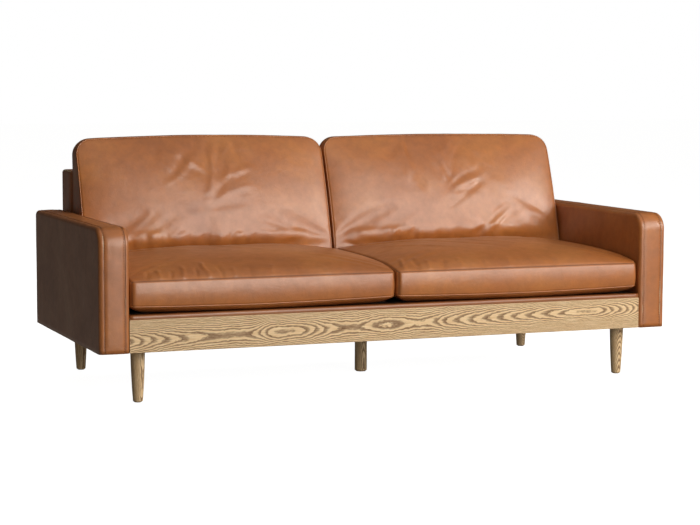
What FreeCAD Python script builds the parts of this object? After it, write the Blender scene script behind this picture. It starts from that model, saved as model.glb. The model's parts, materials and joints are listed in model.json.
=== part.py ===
import FreeCAD, Part
import os

from FreeCAD import Vector

# Two-seat leather sofa on turned wooden legs, with a wooden show rail at the front.
# Millimetres. +X runs along the sofa, -Y is the front, +Z is up, and the origin is on the
# floor, midway between the arms and midway between their front and rear faces.

# ---------------------------------------------------------------- overall sizes
WIDTH = 1880.0              # over both arms
DEPTH = 820.0               # front to rear of the arms
UNDERSIDE = 156.0           # floor to the underside of the arms and the show rail
BASE_HEIGHT = 97.0          # show rail and seat frame
ARM_TOP = 525.0
ARM_WIDTH = 92.0
BACK_TOP = 657.0            # top of the fixed back
CUSHION_TOP = 768.0         # top of the loose back cushions

# ---------------------------------------------------------------- upholstery
LEATHER = 2.0               # leather on arms and back
PADDING = 12.0              # foam over the arm frames
BOARD = 3.0                 # hardboard that closes a frame
CUSHION_LEATHER = 1.5
CORE_CLEARANCE = 0.5        # cover to filling, on the sides that don't bear
ARM_FRONT_RADIUS = 53.0     # top front corner of an arm, seen from the side
ARM_REAR_RADIUS = 20.0
ARM_EDGE_ROUND = 12.0       # long edges of an arm
OUTER_SEAM = 15.0           # outside face of an arm to the seam on its boxing
INNER_SEAM = 13.0           # inside face of an arm to its seam

# ---------------------------------------------------------------- timber
BEAM = 30.0                 # thickness of the front, rear and spring beams
SIDE_BEAM = 25.0
CENTRE_BEAM = 36.0
STUD = 45.0                 # posts and rails of the arm and back frames
RAIL_THICKNESS = 25.0       # show rail
RAIL_SETBACK = 4.0          # front of the arms to the face of the show rail
RAIL_ROUND = 1.5

# ---------------------------------------------------------------- legs
LEG_TOP_RADIUS = 22.0
LEG_MIDDLE_RADIUS = 19.4
LEG_FOOT_RADIUS = 14.8
CENTRE_LEG_RADIUS = 20.0
LEG_FOOT_ROUND = 3.0
LEG_SIDE_INSET = 42.0       # inside face of the arm to the leg's centre line
LEG_FRONT_SETBACK = 72.0    # front of the arms to the front legs' centre line
LEG_REAR_SETBACK = 57.0
CENTRE_LEG_OFFSET = 26.0    # side of the centre beam to the centre leg's centre line
GLIDE = 2.0                 # felt glide under each leg
GLIDE_INSET = 4.0
PLATE = 4.0                 # steel plate over each leg
PLATE_SIZE = 64.0
CENTRE_PLATE_SIZE = 52.0
BLOCK_SIZE = 60.0

# ---------------------------------------------------------------- fasteners
BOLT_RADIUS = 4.0
BOLT_HEAD_RADIUS = 7.0
BOLT_HEAD = 5.0
BOLT_BITE = 20.0            # how far a bolt goes into the piece it holds
SCREW_RADIUS = 2.5
SCREW_HEAD_RADIUS = 5.0
SCREW_HEAD = 3.0
SCREW_BITE = 15.0
HOLE_CLEARANCE = 0.2
HANGER_IN_LEG = 30.0
HANGER_IN_BLOCK = 44.0
SCREW_COUNT = 6
ARM_BOLT_COUNT = 3

# ---------------------------------------------------------------- seat deck and springs
SPRING_WIRE_RADIUS = 1.9
SPRING_HALF_WIDTH = 24.0
SPRING_PITCH = 32.0         # from one cross run to the next
SPRINGS_PER_SEAT = 4
CLIP_HEIGHT = 8.0
CLIP_LENGTH = 11.0
CLIP_DEPTH = 12.0
CLIP_CLEARANCE = 0.2
DECK_FELT = 4.0
DECK_CLOTH = 1.5
DECK_EDGE = 25.0            # firm roll along the front edge of the deck
DECK_LIP = 40.0             # leather turned over the front edge
DECK_CLEARANCE = 2.0
DUST_CLOTH = 1.0
DUST_MARGIN = 8.0

# ---------------------------------------------------------------- fixed back
BACK_THICKNESS = 109.0
BACK_SETBACK = 1.0          # rear of the arms to the rear of the back
BACK_ROUND = 10.0
BACK_SEAM = 13.0
BACK_FRONT_PADDING = 26.0
BACK_REAR_PADDING = 20.0
WEB = 2.0
WEB_WIDTH = 50.0
WEB_COUNT = 4

# ---------------------------------------------------------------- cushions
CUSHION_GAP = 3.0           # between the left and the right cushion
CUSHION_TO_ARM = 2.5
SEAT_FRONT_SETBACK = 5.0    # front of the arms to the front of the seat cushions
SEAT_THICKNESS = 146.0
SEAT_FRONT_HEIGHT = 99.0    # height of the front edge above the cushion's underside
SEAT_CHAMFER = 16.0         # underside turned up towards the front
SEAT_CHAMFER_DEPTH = 40.0
SEAT_CORNER = 16.0
CUSHION_REST = 0.5          # cushion to deck
BACK_CUSHION_REST = 5.5     # leaves room for the zip under the cushion
BACK_CUSHION_TO_SEAT = 7.0
BACK_CUSHION_TO_BACK = 3.0
BACK_CUSHION_KNEE = 126.0   # straight lower part, above the deck
BACK_CUSHION_THICKNESS = 162.0
BACK_CUSHION_TOP_THICKNESS = 48.0
BACK_CUSHION_TOP_DROP = 26.0
BACK_CUSHION_CORNER = 50.0
BACK_CUSHION_LOW_CORNER = 14.0
ZIP_LENGTH = 600.0
ZIP_WIDTH = 6.0
ZIP_THICKNESS = 1.2
SLIDER_LENGTH = 11.0
SLIDER_WIDTH = 8.0
SLIDER_THICKNESS = 3.0
SLIDER_CLEARANCE = 0.3

# ---------------------------------------------------------------- places worked out from the sizes
ARM_OUT = WIDTH / 2
ARM_IN = ARM_OUT - ARM_WIDTH
FRONT = -DEPTH / 2
REAR = DEPTH / 2
BASE_TOP = UNDERSIDE + BASE_HEIGHT
BASE_BOTTOM = UNDERSIDE + PLATE
RAIL_FRONT = FRONT + RAIL_SETBACK
RAIL_REAR = RAIL_FRONT + RAIL_THICKNESS
FRONT_BEAM_REAR = RAIL_REAR + BEAM
BACK_REAR = REAR - BACK_SETBACK
BACK_FRONT = BACK_REAR - BACK_THICKNESS
REAR_BEAM_REAR = BACK_REAR - LEATHER
REAR_BEAM_FRONT = REAR_BEAM_REAR - BEAM
SPRING_BEAM_REAR = BACK_FRONT - LEATHER
SPRING_BEAM_FRONT = SPRING_BEAM_REAR - BEAM
SIDE_BEAM_IN = ARM_IN - SIDE_BEAM
LEG_X = ARM_IN - LEG_SIDE_INSET
LEG_FRONT_Y = FRONT + LEG_FRONT_SETBACK
LEG_REAR_Y = REAR - LEG_REAR_SETBACK
CENTRE_LEG_X = CENTRE_BEAM / 2 + CENTRE_LEG_OFFSET
CENTRE_LEG_Y = 0.0
LEG_PLACES = {
    "leg_front_left": (-LEG_X, LEG_FRONT_Y),
    "leg_front_right": (LEG_X, LEG_FRONT_Y),
    "leg_rear_left": (-LEG_X, LEG_REAR_Y),
    "leg_rear_right": (LEG_X, LEG_REAR_Y),
}
FELT_BOTTOM = BASE_TOP + CLIP_HEIGHT
DECK_TOP = FELT_BOTTOM + DECK_FELT + DECK_CLOTH
ARM_FRAME_INSET = LEATHER + PADDING
ARM_BOLT_Z = UNDERSIDE + ARM_FRAME_INSET / 2 + STUD / 2
SEAT_FRONT = FRONT + SEAT_FRONT_SETBACK
BACK_CUSHION_REAR = BACK_FRONT - BACK_CUSHION_TO_BACK
BACK_CUSHION_FRONT = BACK_CUSHION_REAR - BACK_CUSHION_THICKNESS
SEAT_REAR = BACK_CUSHION_FRONT - BACK_CUSHION_TO_SEAT
SEAT_DEPTH = SEAT_REAR - SEAT_FRONT
CUSHION_IN = CUSHION_GAP / 2
CUSHION_OUT = ARM_IN - CUSHION_TO_ARM
CUSHION_MIDDLE = (CUSHION_IN + CUSHION_OUT) / 2


# ---------------------------------------------------------------- helpers
def box(x0, x1, y0, y1, z0, z1):
    """A block from its low and high corners."""
    return Part.makeBox(x1 - x0, y1 - y0, z1 - z0, Vector(x0, y0, z0))


def rod(start, direction, length, radius):
    """A round bar from a point along a direction."""
    return Part.makeCylinder(radius, length, Vector(*start), Vector(*direction))


def mirrored(shape):
    """The same piece on the other side of the sofa."""
    return shape.mirror(Vector(0, 0, 0), Vector(1, 0, 0))


def both(shape):
    """A right-hand piece and its left-hand twin."""
    return [shape, mirrored(shape)]


def round_edges(shape, radius, wanted):
    """Round the edges whose middle point passes the test."""
    edges = [edge for edge in shape.Edges if wanted(middle(edge))]
    return shape.makeFillet(radius, edges)


def middle(edge):
    """The point halfway along an edge."""
    return edge.valueAt((edge.FirstParameter + edge.LastParameter) / 2)


def near(a, b):
    return abs(a - b) < 0.01


def spread(count, low, high):
    """Evenly spaced places, half a step in from each end."""
    step = (high - low) / count
    return [low + step * (i + 0.5) for i in range(count)]


def inset_outline(points, inset):
    """Move each side of an anticlockwise outline inwards and join the sides again."""
    sides = []
    for i, (y0, z0) in enumerate(points):
        y1, z1 = points[(i + 1) % len(points)]
        length = ((y1 - y0) ** 2 + (z1 - z0) ** 2) ** 0.5
        dy, dz = (y1 - y0) / length, (z1 - z0) / length
        sides.append((y0 - dz * inset, z0 + dy * inset, dy, dz))
    moved = []
    for i, (y1, z1, dy1, dz1) in enumerate(sides):
        y0, z0, dy0, dz0 = sides[i - 1]
        cross = dy0 * dz1 - dz0 * dy1
        along = ((y1 - y0) * dz1 - (z1 - z0) * dy1) / cross
        moved.append((y0 + dy0 * along, z0 + dz0 * along))
    return moved


def prism_along_x(points, x0, x1):
    """A solid with the given side outline between two planes."""
    corners = [Vector(x0, y, z) for y, z in points]
    face = Part.Face(Part.makePolygon(corners + corners[:1]))
    return face.extrude(Vector(x1 - x0, 0, 0))


PIECES = {}


def keep(name, shapes):
    """Store a piece, or a group of like pieces, under its name."""
    if not isinstance(shapes, list):
        shapes = [shapes]
    solids = []
    for shape in shapes:
        solids.extend(shape.Solids)
    PIECES[name] = solids[0] if len(solids) == 1 else Part.makeCompound(solids)


# ---------------------------------------------------------------- fasteners and their holes
def bolt(start, direction, length):
    """A hexagon-socket bolt, from the face under its head."""
    shank = rod(start, direction, length, BOLT_RADIUS)
    back = [-d for d in direction]
    return shank.fuse(rod(start, back, BOLT_HEAD, BOLT_HEAD_RADIUS)).removeSplitter()


def bolt_hole(start, direction, length):
    return rod(start, direction, length + HOLE_CLEARANCE, BOLT_RADIUS + HOLE_CLEARANCE)


ARM_BOLT_LENGTH = SIDE_BEAM + ARM_FRAME_INSET + BOARD + BOLT_BITE
arm_bolt_places = spread(ARM_BOLT_COUNT, FRONT_BEAM_REAR, SPRING_BEAM_FRONT)
arm_bolt_starts = [(SIDE_BEAM_IN, y, ARM_BOLT_Z) for y in arm_bolt_places]
BACK_POST_IN = ARM_IN - ARM_FRAME_INSET - STUD
BACK_BOLT_LENGTH = STUD + 2 * ARM_FRAME_INSET + BOARD + BOLT_BITE
BACK_BOLT_Y = REAR - ARM_FRAME_INSET - STUD * 0.6
back_bolt_starts = [(BACK_POST_IN, BACK_BOLT_Y, z) for z in spread(2, BASE_TOP + STUD, ARM_TOP - STUD)]
side_bolts = [bolt(s, (1, 0, 0), ARM_BOLT_LENGTH) for s in arm_bolt_starts]
side_bolts += [bolt(s, (1, 0, 0), BACK_BOLT_LENGTH) for s in back_bolt_starts]
side_holes = [bolt_hole(s, (1, 0, 0), ARM_BOLT_LENGTH) for s in arm_bolt_starts]
side_holes += [bolt_hole(s, (1, 0, 0), BACK_BOLT_LENGTH) for s in back_bolt_starts]
keep("frame_bolts", [twin for piece in side_bolts for twin in both(piece)])


def drilled(shape):
    """Cut the bolt holes of the right-hand side."""
    return shape.cut(side_holes)


def hanger_hole(x, y):
    """Bore for the double-ended bolt that joins a leg to its block."""
    start = (x, y, UNDERSIDE - HANGER_IN_LEG)
    return rod(start, (0, 0, 1), HANGER_IN_LEG + HANGER_IN_BLOCK, BOLT_RADIUS + HOLE_CLEARANCE)


hanger_holes = [hanger_hole(x, y) for x, y in LEG_PLACES.values()]
hanger_holes.append(hanger_hole(CENTRE_LEG_X, CENTRE_LEG_Y))


def hung(shape):
    """Cut the bores of all the legs' bolts."""
    return shape.cut(hanger_holes)


# ---------------------------------------------------------------- show rail and seat frame
show_rail = box(-ARM_IN, ARM_IN, RAIL_FRONT, RAIL_REAR, UNDERSIDE, BASE_TOP)
show_rail = round_edges(show_rail, RAIL_ROUND, lambda p: near(p.y, RAIL_FRONT) and near(p.x, 0))
front_beam = box(-ARM_IN, ARM_IN, RAIL_REAR, FRONT_BEAM_REAR, BASE_BOTTOM, BASE_TOP)
screws = []
screw_length = BEAM + SCREW_BITE
for x in spread(SCREW_COUNT, -SIDE_BEAM_IN + BLOCK_SIZE, SIDE_BEAM_IN - BLOCK_SIZE):
    head_face = (x, FRONT_BEAM_REAR, (BASE_BOTTOM + BASE_TOP) / 2)
    shank = rod(head_face, (0, -1, 0), screw_length, SCREW_RADIUS)
    screws.append(shank.fuse(rod(head_face, (0, 1, 0), SCREW_HEAD, SCREW_HEAD_RADIUS)).removeSplitter())
    hole = rod(head_face, (0, -1, 0), screw_length + HOLE_CLEARANCE, SCREW_RADIUS + HOLE_CLEARANCE)
    show_rail = show_rail.cut(hole)
    front_beam = front_beam.cut(hole)
keep("front_show_rail", show_rail)
keep("front_beam", hung(front_beam))
keep("show_rail_screws", screws)
rear_beam = box(-ARM_IN, ARM_IN, REAR_BEAM_FRONT, REAR_BEAM_REAR, BASE_BOTTOM, BASE_TOP)
keep("rear_beam", hung(rear_beam))
side_beam = box(SIDE_BEAM_IN, ARM_IN, FRONT_BEAM_REAR, REAR_BEAM_FRONT, BASE_BOTTOM, BASE_TOP)
keep("side_beams", [hung(beam) for beam in both(drilled(side_beam))])
keep("spring_beam", box(-SIDE_BEAM_IN, SIDE_BEAM_IN, SPRING_BEAM_FRONT, SPRING_BEAM_REAR,
                        BASE_BOTTOM, BASE_TOP))
half = CENTRE_BEAM / 2
centre_beam = box(-half, half, FRONT_BEAM_REAR, SPRING_BEAM_FRONT, BASE_BOTTOM, BASE_TOP)
keep("centre_beam", hung(centre_beam))


# ---------------------------------------------------------------- legs and what holds them
def corner_leg(x, y):
    """Turned leg, a little fuller in the middle than a straight taper."""
    foot = Vector(x + LEG_FOOT_RADIUS, y, GLIDE)
    belly = Vector(x + LEG_MIDDLE_RADIUS, y, (GLIDE + UNDERSIDE) / 2)
    shoulder = Vector(x + LEG_TOP_RADIUS, y, UNDERSIDE)
    side = Part.Arc(foot, belly, shoulder).toShape()
    top = Part.makeLine(shoulder, Vector(x, y, UNDERSIDE))
    axis = Part.makeLine(Vector(x, y, UNDERSIDE), Vector(x, y, GLIDE))
    base = Part.makeLine(Vector(x, y, GLIDE), foot)
    face = Part.Face(Part.Wire([side, top, axis, base]))
    leg = Part.Solid(face.revolve(Vector(x, y, 0), Vector(0, 0, 1), 360))
    leg = round_edges(leg, LEG_FOOT_ROUND, lambda p: near(p.z, GLIDE) and not near(p.x, x))
    return hung(leg)


def centre_leg(x, y):
    """Plain round leg under the middle of the seat."""
    leg = rod((x, y, GLIDE), (0, 0, 1), UNDERSIDE - GLIDE, CENTRE_LEG_RADIUS)
    return hung(round_edges(leg, LEG_FOOT_ROUND, lambda p: near(p.z, GLIDE)))


def leg_plate(x, y, size):
    """Square plate under the frame, cut short where it would run past the frame's edges."""
    x0, x1 = max(x - size / 2, -ARM_IN), min(x + size / 2, ARM_IN)
    y0, y1 = max(y - size / 2, RAIL_REAR), min(y + size / 2, REAR_BEAM_REAR)
    return hung(box(x0, x1, y0, y1, UNDERSIDE, BASE_BOTTOM))


def hanger_bolt(x, y):
    start = (x, y, UNDERSIDE - HANGER_IN_LEG)
    return rod(start, (0, 0, 1), HANGER_IN_LEG + HANGER_IN_BLOCK, BOLT_RADIUS)


def glide(x, y, foot_radius):
    return rod((x, y, 0), (0, 0, 1), GLIDE, foot_radius - GLIDE_INSET)


plates, hangers, glides = [], [], []
for name, (x, y) in LEG_PLACES.items():
    keep(name, corner_leg(x, y))
    plates.append(leg_plate(x, y, PLATE_SIZE))
    hangers.append(hanger_bolt(x, y))
    glides.append(glide(x, y, LEG_FOOT_RADIUS))
keep("leg_centre", centre_leg(CENTRE_LEG_X, CENTRE_LEG_Y))
plates.append(leg_plate(CENTRE_LEG_X, CENTRE_LEG_Y, CENTRE_PLATE_SIZE))
hangers.append(hanger_bolt(CENTRE_LEG_X, CENTRE_LEG_Y))
glides.append(glide(CENTRE_LEG_X, CENTRE_LEG_Y, CENTRE_LEG_RADIUS))
keep("leg_plates", plates)
keep("hanger_bolts", hangers)
keep("leg_glides", glides)

block_in = SIDE_BEAM_IN - BLOCK_SIZE
front_block = box(block_in, SIDE_BEAM_IN, FRONT_BEAM_REAR, FRONT_BEAM_REAR + BLOCK_SIZE,
                  BASE_BOTTOM, BASE_TOP)
rear_block = box(block_in, SIDE_BEAM_IN, REAR_BEAM_FRONT - BLOCK_SIZE, REAR_BEAM_FRONT,
                 BASE_BOTTOM, BASE_TOP)
centre_block = box(CENTRE_BEAM / 2, CENTRE_BEAM / 2 + 2 * CENTRE_LEG_OFFSET,
                   CENTRE_LEG_Y - BLOCK_SIZE / 2, CENTRE_LEG_Y + BLOCK_SIZE / 2, BASE_BOTTOM, BASE_TOP)
keep("leg_blocks", [hung(block) for block in both(front_block) + both(rear_block) + [centre_block]])


# ---------------------------------------------------------------- seat springs, clips and deck
SPRING_Z = BASE_TOP + CLIP_HEIGHT / 2
SPRING_FRONT = RAIL_REAR + BEAM / 2
SPRING_REAR = SPRING_BEAM_FRONT + BEAM / 2


def zigzag_spring(x):
    """Flat zigzag spring: cross runs joined by half-round turns, from front clip to rear clip."""
    run_count = 2 * round((SPRING_REAR - SPRING_FRONT) / SPRING_PITCH / 2) + 1
    pitch = (SPRING_REAR - SPRING_FRONT) / (run_count - 1)
    turn = pitch / 2
    straight = SPRING_HALF_WIDTH - turn
    edges = []
    side = -1
    for i in range(run_count):
        y = SPRING_FRONT + i * pitch
        start = Vector(x + side * straight, y, SPRING_Z)
        end = Vector(x - side * straight, y, SPRING_Z)
        edges.append(Part.makeLine(start, end))
        if i < run_count - 1:
            outermost = Vector(x - side * SPRING_HALF_WIDTH, y + turn, SPRING_Z)
            edges.append(Part.Arc(end, outermost, end + Vector(0, pitch, 0)).toShape())
        side = -side
    path = Part.Wire(edges)
    first = Vector(x - straight, SPRING_FRONT, SPRING_Z)
    section = Part.Wire(Part.makeCircle(SPRING_WIRE_RADIUS, first, Vector(1, 0, 0)))
    return path.makePipeShell([section], True, False)


def spring_clip(x, y):
    """Clip that hooks the first or last cross run of a spring down on its beam."""
    half_length, half_depth = CLIP_LENGTH / 2, CLIP_DEPTH / 2
    body = box(x - half_length, x + half_length, y - half_depth, y + half_depth,
               BASE_TOP, BASE_TOP + CLIP_HEIGHT)
    groove_y = SPRING_WIRE_RADIUS + CLIP_CLEARANCE
    groove = box(x - half_length, x + half_length, y - groove_y, y + groove_y,
                 SPRING_Z - SPRING_WIRE_RADIUS, SPRING_Z + SPRING_WIRE_RADIUS)
    return body.cut(groove)


springs, clips = [], []
for x in spread(SPRINGS_PER_SEAT, CENTRE_BEAM / 2, SIDE_BEAM_IN):
    for place in (x, -x):
        springs.append(zigzag_spring(place))
        clips.append(spring_clip(place, SPRING_FRONT))
        clips.append(spring_clip(place, SPRING_REAR))
keep("seat_springs", springs)
keep("spring_clips", clips)

deck_x = ARM_IN - DECK_CLEARANCE
deck_front = FRONT + SEAT_FRONT_SETBACK + CUSHION_LEATHER
deck_rear = BACK_FRONT - HOLE_CLEARANCE
cloth_bottom = DECK_TOP - DECK_CLOTH
lip_rear = deck_front + DECK_LIP
keep("deck_edge_roll", box(-deck_x, deck_x, deck_front, min(deck_front + DECK_EDGE,
     SPRING_FRONT - CLIP_DEPTH / 2), BASE_TOP, FELT_BOTTOM))
keep("deck_felt", box(-deck_x, deck_x, deck_front, deck_rear, FELT_BOTTOM, cloth_bottom))
keep("deck_cloth", box(-deck_x, deck_x, lip_rear, deck_rear, cloth_bottom, DECK_TOP))
strip_face = box(-deck_x, deck_x, deck_front - DECK_CLOTH, deck_front, BASE_TOP, DECK_TOP)
strip_lip = box(-deck_x, deck_x, deck_front, lip_rear, cloth_bottom, DECK_TOP)
keep("deck_leather_strip", strip_face.fuse(strip_lip).removeSplitter())

dust_x = ARM_IN - DUST_MARGIN
dust_cover = box(-dust_x, dust_x, RAIL_REAR + DUST_MARGIN, REAR_BEAM_REAR - DUST_MARGIN,
                 BASE_BOTTOM - DUST_CLOTH, BASE_BOTTOM)
for x, y in LEG_PLACES.values():
    half = PLATE_SIZE / 2 + HOLE_CLEARANCE
    dust_cover = dust_cover.cut(box(x - half, x + half, y - half, y + half, UNDERSIDE, BASE_TOP))
half = CENTRE_PLATE_SIZE / 2 + HOLE_CLEARANCE
dust_cover = dust_cover.cut(box(CENTRE_LEG_X - half, CENTRE_LEG_X + half,
                                CENTRE_LEG_Y - half, CENTRE_LEG_Y + half, UNDERSIDE, BASE_TOP))
keep("dust_cover", dust_cover)


# ---------------------------------------------------------------- arms
def arm_block(inset, edge_round):
    """The right arm's outer shape, moved inwards all round."""
    x0, x1 = ARM_IN + inset, ARM_OUT - inset
    y0, y1 = FRONT + inset, REAR - inset
    z0, z1 = UNDERSIDE + min(inset, LEATHER), ARM_TOP - inset
    block = box(x0, x1, y0, y1, z0, z1)
    block = round_edges(block, ARM_FRONT_RADIUS - inset, lambda p: near(p.y, y0) and near(p.z, z1))
    block = round_edges(block, ARM_REAR_RADIUS - inset, lambda p: near(p.y, y1) and near(p.z, z1))
    if edge_round:
        block = round_edges(block, edge_round,
                            lambda p: (near(p.x, x0) or near(p.x, x1)) and not near(p.z, z0))
    return block


arm_outside = arm_block(0, ARM_EDGE_ROUND)
arm_lining = arm_block(LEATHER, ARM_EDGE_ROUND - LEATHER)
arm_core = arm_block(ARM_FRAME_INSET, 0)
arm_core_bottom = UNDERSIDE + LEATHER
arm_skin = drilled(arm_outside.cut(arm_lining))
outer_seam_x = ARM_OUT - OUTER_SEAM
inner_seam_x = ARM_IN + INNER_SEAM
arm_pieces = {
    "outer_cover": arm_skin.common(box(outer_seam_x, ARM_OUT, FRONT, REAR, 0, ARM_TOP)),
    "boxing": arm_skin.common(box(inner_seam_x, outer_seam_x, FRONT, REAR, 0, ARM_TOP)),
    "inner_cover": arm_skin.common(box(ARM_IN, inner_seam_x, FRONT, REAR, 0, ARM_TOP)),
    "padding": drilled(arm_lining.cut(arm_core)),
}
core_x0, core_x1 = ARM_IN + ARM_FRAME_INSET, ARM_OUT - ARM_FRAME_INSET
core_y0, core_y1 = FRONT + ARM_FRAME_INSET, REAR - ARM_FRAME_INSET
core_z1 = ARM_TOP - ARM_FRAME_INSET
board_in = box(core_x0, core_x0 + BOARD, core_y0, core_y1, arm_core_bottom, core_z1)
board_out = box(core_x1 - BOARD, core_x1, core_y0, core_y1, arm_core_bottom, core_z1)
arm_boards = [drilled(arm_core.common(board)) for board in (board_in, board_out)]
stud_x0, stud_x1 = core_x0 + BOARD, core_x1 - BOARD
low_rail_top = arm_core_bottom + STUD
high_rail_bottom = core_z1 - STUD
arm_studs = [
    box(stud_x0, stud_x1, core_y0, core_y1, arm_core_bottom, low_rail_top),
    box(stud_x0, stud_x1, core_y0, core_y1, high_rail_bottom, core_z1),
    box(stud_x0, stud_x1, core_y0, core_y0 + STUD, low_rail_top, high_rail_bottom),
    box(stud_x0, stud_x1, core_y1 - STUD, core_y1, low_rail_top, high_rail_bottom),
]
arm_studs = [drilled(arm_core.common(stud)) for stud in arm_studs]
for side_name, place in (("right", lambda s: s), ("left", mirrored)):
    for piece_name, shape in arm_pieces.items():
        keep(side_name + "_arm_" + piece_name, place(shape))
    keep(side_name + "_arm_boards", [place(board) for board in arm_boards])
    keep(side_name + "_arm_frame", [place(stud) for stud in arm_studs])


# ---------------------------------------------------------------- fixed back
def back_block(inset, edge_round):
    """The fixed back's outer shape, moved inwards all round."""
    x1 = ARM_IN - inset
    y0, y1 = BACK_FRONT + inset, BACK_REAR - inset
    z0, z1 = BASE_TOP + inset, BACK_TOP - inset
    block = box(-x1, x1, y0, y1, z0, z1)
    return round_edges(block, edge_round,
                       lambda p: (near(p.y, y0) or near(p.y, y1)) and not near(p.z, z0))


def drilled_both_sides(shape):
    return drilled(mirrored(drilled(shape)))


back_outside = back_block(0, BACK_ROUND)
back_lining = back_block(LEATHER, BACK_ROUND - LEATHER)
back_skin = drilled_both_sides(back_outside.cut(back_lining))
front_seam_y = BACK_FRONT + BACK_SEAM
rear_seam_y = BACK_REAR - BACK_SEAM
keep("back_front_cover", back_skin.common(box(-ARM_IN, ARM_IN, BACK_FRONT, front_seam_y, 0, BACK_TOP)))
keep("back_boxing", back_skin.common(box(-ARM_IN, ARM_IN, front_seam_y, rear_seam_y, 0, BACK_TOP)))
rear_panel = back_skin.common(box(-ARM_IN, ARM_IN, rear_seam_y, BACK_REAR, 0, BACK_TOP))
rear_skirt = box(-ARM_IN, ARM_IN, REAR_BEAM_REAR, BACK_REAR, UNDERSIDE, BASE_TOP + LEATHER)
keep("back_rear_cover", rear_panel.fuse(rear_skirt).removeSplitter())

frame_front = BACK_FRONT + LEATHER + BACK_FRONT_PADDING
frame_rear = BACK_REAR - LEATHER - BACK_REAR_PADDING
frame_x = ARM_IN - ARM_FRAME_INSET
frame_bottom = BASE_TOP + LEATHER
frame_top = BACK_TOP - ARM_FRAME_INSET
back_core = box(-frame_x, frame_x, frame_front, frame_rear, frame_bottom, frame_top)
keep("back_padding", drilled_both_sides(back_lining.cut(back_core)))
stud_front, stud_rear = frame_front + WEB, frame_rear - BOARD
back_studs = [
    box(-frame_x, frame_x, stud_front, stud_rear, frame_bottom, frame_bottom + STUD),
    box(-frame_x, frame_x, stud_front, stud_rear, frame_top - STUD, frame_top),
]
for x0 in (-frame_x, -STUD / 2, frame_x - STUD):
    back_studs.append(box(x0, x0 + STUD, stud_front, stud_rear, frame_bottom + STUD, frame_top - STUD))
keep("back_frame", [drilled_both_sides(stud) for stud in back_studs])
keep("back_board", box(-frame_x, frame_x, stud_rear, frame_rear, frame_bottom, frame_top))
webs = []
for z in spread(WEB_COUNT, frame_bottom + STUD, frame_top - STUD):
    webs.append(box(-frame_x, frame_x, frame_front, stud_front, z - WEB_WIDTH / 2, z + WEB_WIDTH / 2))
keep("back_webbing", webs)


# ---------------------------------------------------------------- loose cushions
def seat_cushion(inset):
    """Right seat cushion: crowned top, and an underside that rises towards the front."""
    z0 = DECK_TOP + CUSHION_REST
    z1 = z0 + SEAT_THICKNESS
    shoulder = z0 + SEAT_FRONT_HEIGHT
    outline = [
        (SEAT_FRONT + SEAT_CHAMFER_DEPTH, z0),
        (SEAT_REAR, z0),
        (SEAT_REAR, z1),
        (SEAT_FRONT + SEAT_DEPTH * 0.3, z1 - SEAT_THICKNESS * 0.06),
        (SEAT_FRONT + SEAT_DEPTH * 0.1, (z1 + shoulder) / 2 + SEAT_THICKNESS * 0.02),
        (SEAT_FRONT, shoulder),
        (SEAT_FRONT, z0 + SEAT_CHAMFER),
    ]
    body = prism_along_x(inset_outline(outline, inset), CUSHION_IN + inset, CUSHION_OUT - inset)
    plan = box(CUSHION_IN + inset, CUSHION_OUT - inset, SEAT_FRONT + inset, SEAT_REAR - inset, z0, z1)
    plan = round_edges(plan, SEAT_CORNER - inset, lambda p: near(p.z, (z0 + z1) / 2))
    return body.common(plan)


def back_cushion(inset):
    """Right back cushion: straight where it stands behind the seat, then leaning back."""
    z0 = DECK_TOP + BACK_CUSHION_REST
    front = BACK_CUSHION_FRONT
    rear = BACK_CUSHION_REAR
    top_front = rear - BACK_CUSHION_TOP_THICKNESS
    outline = [
        (front, z0),
        (rear, z0),
        (rear, CUSHION_TOP - BACK_CUSHION_TOP_DROP / 2),
        (rear - BACK_CUSHION_TOP_DROP / 2, CUSHION_TOP),
        (top_front + BACK_CUSHION_TOP_DROP / 2, CUSHION_TOP),
        (top_front, CUSHION_TOP - BACK_CUSHION_TOP_DROP),
        (front, DECK_TOP + BACK_CUSHION_KNEE),
    ]
    body = prism_along_x(inset_outline(outline, inset), CUSHION_IN + inset, CUSHION_OUT - inset)
    face = box(CUSHION_IN + inset, CUSHION_OUT - inset, front + inset, rear - inset,
               z0 + inset, CUSHION_TOP - inset)
    middle_y = (front + rear) / 2
    face = round_edges(face, BACK_CUSHION_CORNER - inset,
                       lambda p: near(p.y, middle_y) and near(p.z, CUSHION_TOP - inset))
    face = round_edges(face, BACK_CUSHION_LOW_CORNER - inset,
                       lambda p: near(p.y, middle_y) and near(p.z, z0 + inset))
    return body.common(face)


def zip_pieces(low_corner, normal):
    """Zip chain and its slider, on the face whose outward direction is given."""
    x0 = CUSHION_MIDDLE - ZIP_LENGTH / 2
    y, z = low_corner
    slider_x = CUSHION_MIDDLE + ZIP_LENGTH / 2 - SLIDER_LENGTH
    lift = ZIP_THICKNESS + SLIDER_CLEARANCE
    if normal == "rear":
        chain = box(x0, x0 + ZIP_LENGTH, y, y + ZIP_THICKNESS, z, z + ZIP_WIDTH)
        slider_z = z + ZIP_WIDTH / 2 - SLIDER_WIDTH / 2
        slider = box(slider_x, slider_x + SLIDER_LENGTH, y + lift, y + lift + SLIDER_THICKNESS,
                     slider_z, slider_z + SLIDER_WIDTH)
    else:
        chain = box(x0, x0 + ZIP_LENGTH, y, y + ZIP_WIDTH, z - ZIP_THICKNESS, z)
        slider_y = y + ZIP_WIDTH / 2 - SLIDER_WIDTH / 2
        slider = box(slider_x, slider_x + SLIDER_LENGTH, slider_y, slider_y + SLIDER_WIDTH,
                     z - lift - SLIDER_THICKNESS, z - lift)
    return chain, slider


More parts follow.
